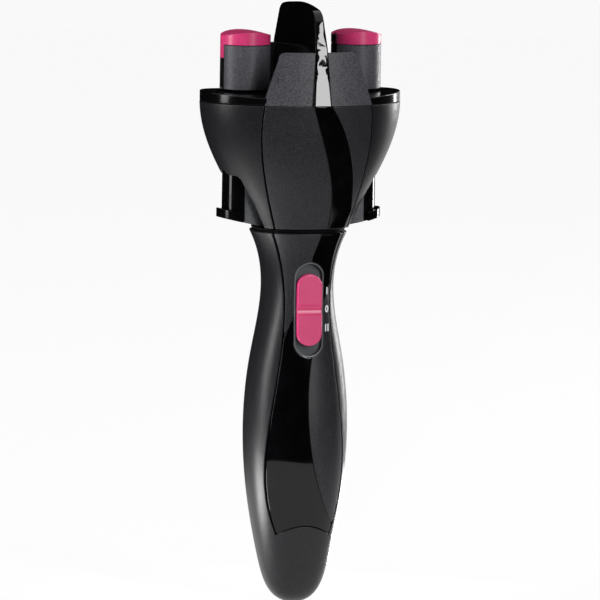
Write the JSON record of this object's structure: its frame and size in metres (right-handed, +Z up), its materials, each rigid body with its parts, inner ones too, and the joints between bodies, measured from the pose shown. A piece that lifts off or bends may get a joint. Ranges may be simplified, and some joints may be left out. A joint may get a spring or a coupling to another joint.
{
  "type": "automatic hair braider",
  "caption": "Hand-held battery-powered hair twisting and braiding tool: waisted handle with slide switch, rotating oval head with lifting pink hook caps, shields and a central fin.",
  "frame": {"origin": "lowest point of the handle, on the axis about which the head turns", "axes": "+Z up along the handle towards the fin, front (switch side) faces -Y, +X to the right seen from the front"},
  "size_m": [0.085, 0.0668, 0.25],
  "materials": {
    "board": "circuit board",
    "brass": "machined brass",
    "casing": "soft-touch matte, fine grain",
    "cell": "plain printed sleeve",
    "collar": "plain black",
    "frame": "plain dark plastic",
    "gear": "natural acetal",
    "gloss": "mirror gloss black",
    "lead": "insulated wire",
    "panel": "matte with a fine metallic grain",
    "pink": "satin pink",
    "steel": "bright steel",
    "track": "dark grey"
  },
  "bodies": {
    "handle": {"handle_rear_shell": "casing", "handle_front_panel": "panel", "handle_ribbon": "gloss", "switch_track": "track", "switch_board": "board", "batteries": "cell", "battery_tray": "frame", "battery_terminals": "steel", "motor_can": "steel", "motor_end_cap": "frame", "gearbox_lower_plate": "frame", "gearbox_upper_plate": "frame", "idler_axle": "steel", "handle_screws": "steel", "internal_leads": "lead", "neck_collar": "collar", "ratchet_ring": "frame", "retaining_ring": "steel"},
    "battery_cover": {"battery_door": "casing"},
    "switch": {"switch_button": "pink", "switch_wiper": "frame"},
    "motor": {"motor_armature": "steel", "motor_pinion": "brass"},
    "cluster_1": {"cluster_gear_1": "gear"},
    "cluster_2": {"cluster_gear_2": "gear"},
    "cluster_3": {"cluster_gear_3": "gear"},
    "drive": {"output_gear": "gear"},
    "head": {"head_base": "frame", "head_bush": "gear", "ratchet_pawl": "frame", "petal_front": "panel", "petal_rear": "panel", "petal_ribbon_front": "gloss", "petal_ribbon_rear": "gloss", "wing_left": "casing", "wing_right": "casing", "gear_plate": "frame", "head_cover": "gloss", "cover_screws": "steel", "shield_front": "panel", "shield_rear": "panel", "fin": "gloss", "pusher_guide_left": "panel", "pusher_guide_right": "panel"},
    "sun": {"sun_gear": "gear", "clutch_sleeve": "steel"},
    "pusher_left": {"pusher_left": "gloss"},
    "pusher_right": {"pusher_right": "gloss"},
    "hook_left": {"hook_gear_left": "gear", "hook_post_left": "collar", "post_panel_left": "panel"},
    "cap_left": {"hook_cap_left": "pink", "hook_stem_left": "steel", "hook_spring_left": "steel"},
    "hook_right": {"hook_gear_right": "gear", "hook_post_right": "collar", "post_panel_right": "panel"},
    "cap_right": {"hook_cap_right": "pink", "hook_stem_right": "steel", "hook_spring_right": "steel"}
  },
  "joints": [
    {"name": "head_spin", "type": "hinge", "parent": "handle", "child": "head", "pos_m": [0, 0, 0.16], "axis": [0, 0, 1], "continuous": true},
    {"name": "sun_spin", "type": "hinge", "parent": "head", "child": "sun", "pos_m": [0, 0, 0.2], "axis": [0, 0, 1], "continuous": true},
    {"name": "hook_left_spin", "type": "hinge", "parent": "head", "child": "hook_left", "pos_m": [-0.024, 0, 0.2], "axis": [0, 0, 1], "continuous": true},
    {"name": "hook_right_spin", "type": "hinge", "parent": "head", "child": "hook_right", "pos_m": [0.024, 0, 0.2], "axis": [0, 0, 1], "continuous": true},
    {"name": "drive_spin", "type": "hinge", "parent": "handle", "child": "drive", "pos_m": [0, 0, 0.14], "axis": [0, 0, 1], "continuous": true},
    {"name": "cluster_3_spin", "type": "hinge", "parent": "handle", "child": "cluster_3", "pos_m": [0, 0.0072, 0.14], "axis": [0, 0, 1], "continuous": true},
    {"name": "cluster_2_spin", "type": "hinge", "parent": "handle", "child": "cluster_2", "pos_m": [0, 0, 0.135], "axis": [0, 0, 1], "continuous": true},
    {"name": "cluster_1_spin", "type": "hinge", "parent": "handle", "child": "cluster_1", "pos_m": [0, 0.0072, 0.13], "axis": [0, 0, 1], "continuous": true},
    {"name": "motor_spin", "type": "hinge", "parent": "handle", "child": "motor", "pos_m": [0, 0, 0.115], "axis": [0, 0, 1], "continuous": true},
    {"name": "pusher_left_lift", "type": "slide", "parent": "head", "child": "pusher_left", "axis": [0, 0, 1], "range_m": [0, 0.007], "stiffness_N_per_m": 150, "springref_m": -0.004},
    {"name": "cap_left_lift", "type": "slide", "parent": "hook_left", "child": "cap_left", "axis": [0, 0, 1], "range_m": [0, 0.007], "deforming": ["hook_spring_left"]},
    {"name": "pusher_right_lift", "type": "slide", "parent": "head", "child": "pusher_right", "axis": [0, 0, 1], "range_m": [0, 0.007], "stiffness_N_per_m": 150, "springref_m": -0.004},
    {"name": "cap_right_lift", "type": "slide", "parent": "hook_right", "child": "cap_right", "axis": [0, 0, 1], "range_m": [0, 0.007], "deforming": ["hook_spring_right"]},
    {"name": "switch_slide", "type": "slide", "parent": "handle", "child": "switch", "axis": [0, 0, 1], "range_m": [-0.004, 0.004]},
    {"name": "battery_door_off", "type": "slide", "parent": "handle", "child": "battery_cover", "axis": [0, 1, 0], "range_m": [0, 0.02]}
  ],
  "couplings": [
    {"joint": "hook_left_spin", "follows": "sun_spin", "ratio": -1},
    {"joint": "hook_right_spin", "follows": "sun_spin", "ratio": -1},
    {"joint": "drive_spin", "follows": "sun_spin", "ratio": 1},
    {"joint": "cluster_3_spin", "follows": "sun_spin", "ratio": -2},
    {"joint": "cluster_2_spin", "follows": "sun_spin", "ratio": 4},
    {"joint": "cluster_1_spin", "follows": "sun_spin", "ratio": -8},
    {"joint": "motor_spin", "follows": "sun_spin", "ratio": 16},
    {"joint": "cap_left_lift", "follows": "pusher_left_lift", "ratio": 1},
    {"joint": "cap_right_lift", "follows": "pusher_right_lift", "ratio": 1}
  ]
}
